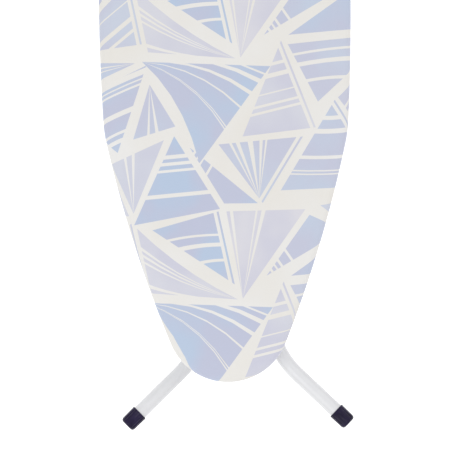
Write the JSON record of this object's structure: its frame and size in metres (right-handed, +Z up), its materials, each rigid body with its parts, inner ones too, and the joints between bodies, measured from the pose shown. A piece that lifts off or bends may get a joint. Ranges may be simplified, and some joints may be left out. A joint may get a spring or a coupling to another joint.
{
  "type": "ironing board",
  "caption": "Folding ironing board with a printed cotton cover over foam, two crossing steel leg frames with splayed capped feet, and an iron rest.",
  "frame": {"origin": "on the floor under the middle of the whole folded board, as it lies on its four foot caps", "axes": "+Z up, out of the ironing surface; +Y along the board from the nose to the tail with the iron rest; +X to the right, seen from above with the tail away"},
  "size_m": [0.38, 1.5382, 0.0962],
  "materials": {
    "cover_print": "printed cotton",
    "cover_edge": "plain cotton",
    "foam": "open-cell foam",
    "felt": "needled felt",
    "deck_steel": "light grey powder coat",
    "zinc": "zinc plated",
    "rest_steel": "light grey powder coat",
    "silicone": "matt silicone",
    "leg_paint": "satin white powder coat",
    "black_plastic": "matt moulded",
    "foot_plastic": "fine-grained, dark aubergine",
    "lever_steel": "zinc plated sheet"
  },
  "bodies": {
    "board": {"cover_top": "cover_print", "cover_skirt": "cover_edge", "cover_hem": "cover_edge", "foam_pad": "foam", "felt_layer": "felt", "deck_mesh": "deck_steel", "rim_rod": "deck_steel", "cross_bar_nose": "deck_steel", "cross_bar_middle": "deck_steel", "cross_bar_pivot": "deck_steel", "cross_bar_tail": "deck_steel", "guide_channel": "deck_steel", "height_rack": "zinc", "channel_rivets": "zinc", "pivot_bracket_left": "deck_steel", "pivot_bracket_right": "deck_steel", "bracket_bolts": "zinc", "rest_tray": "rest_steel", "rest_rod_left": "rest_steel", "rest_rod_right": "rest_steel", "rest_clamps": "rest_steel", "rest_screws": "zinc", "silicone_strips": "silicone"},
    "leg_a": {"leg_a_tube_left": "leg_paint", "leg_a_tube_right": "leg_paint", "leg_a_brace": "leg_paint", "leg_a_axle": "zinc", "leg_a_axle_caps": "black_plastic", "leg_a_top_plugs": "black_plastic", "foot_cap_a_left": "foot_plastic", "foot_cap_a_right": "foot_plastic", "cross_axle": "zinc", "cross_spacer": "black_plastic", "cross_washers": "black_plastic", "cross_nuts": "zinc"},
    "leg_b": {"leg_b_tube_left": "leg_paint", "leg_b_tube_right": "leg_paint", "leg_b_brace": "leg_paint", "leg_b_axle": "zinc", "leg_b_axle_caps": "black_plastic", "leg_b_top_plugs": "black_plastic", "foot_cap_b_left": "foot_plastic", "foot_cap_b_right": "foot_plastic"},
    "carriage": {"carriage_block": "black_plastic", "lever_pin": "zinc", "lever_spring": "zinc"},
    "lever": {"height_lever": "lever_steel", "lever_grip": "foot_plastic"}
  },
  "joints": [
    {"name": "fold", "type": "hinge", "parent": "board", "child": "leg_a", "pos_m": [0, 0.38908, 0.06286], "axis": [1, 0, 0], "range_deg": [0, 53]},
    {"name": "crossing", "type": "hinge", "parent": "leg_a", "child": "leg_b", "pos_m": [0, -0.10545, 0.04127], "axis": [1, 0, 0], "range_deg": [-106, 0]},
    {"name": "carriage_turn", "type": "hinge", "parent": "leg_b", "child": "carriage", "pos_m": [0, -0.59998, 0.06286], "axis": [1, 0, 0], "range_deg": [0, 53]},
    {"name": "height_lever", "type": "hinge", "parent": "carriage", "child": "lever", "pos_m": [0, -0.58598, 0.05986], "axis": [-1, 0, 0], "range_deg": [0, 11], "stiffness_Nm_per_rad": 1, "springref_deg": -20.05}
  ],
  "couplings": [
    {"joint": "crossing", "follows": "fold", "ratio": -2},
    {"joint": "carriage_turn", "follows": "fold", "ratio": 1}
  ]
}
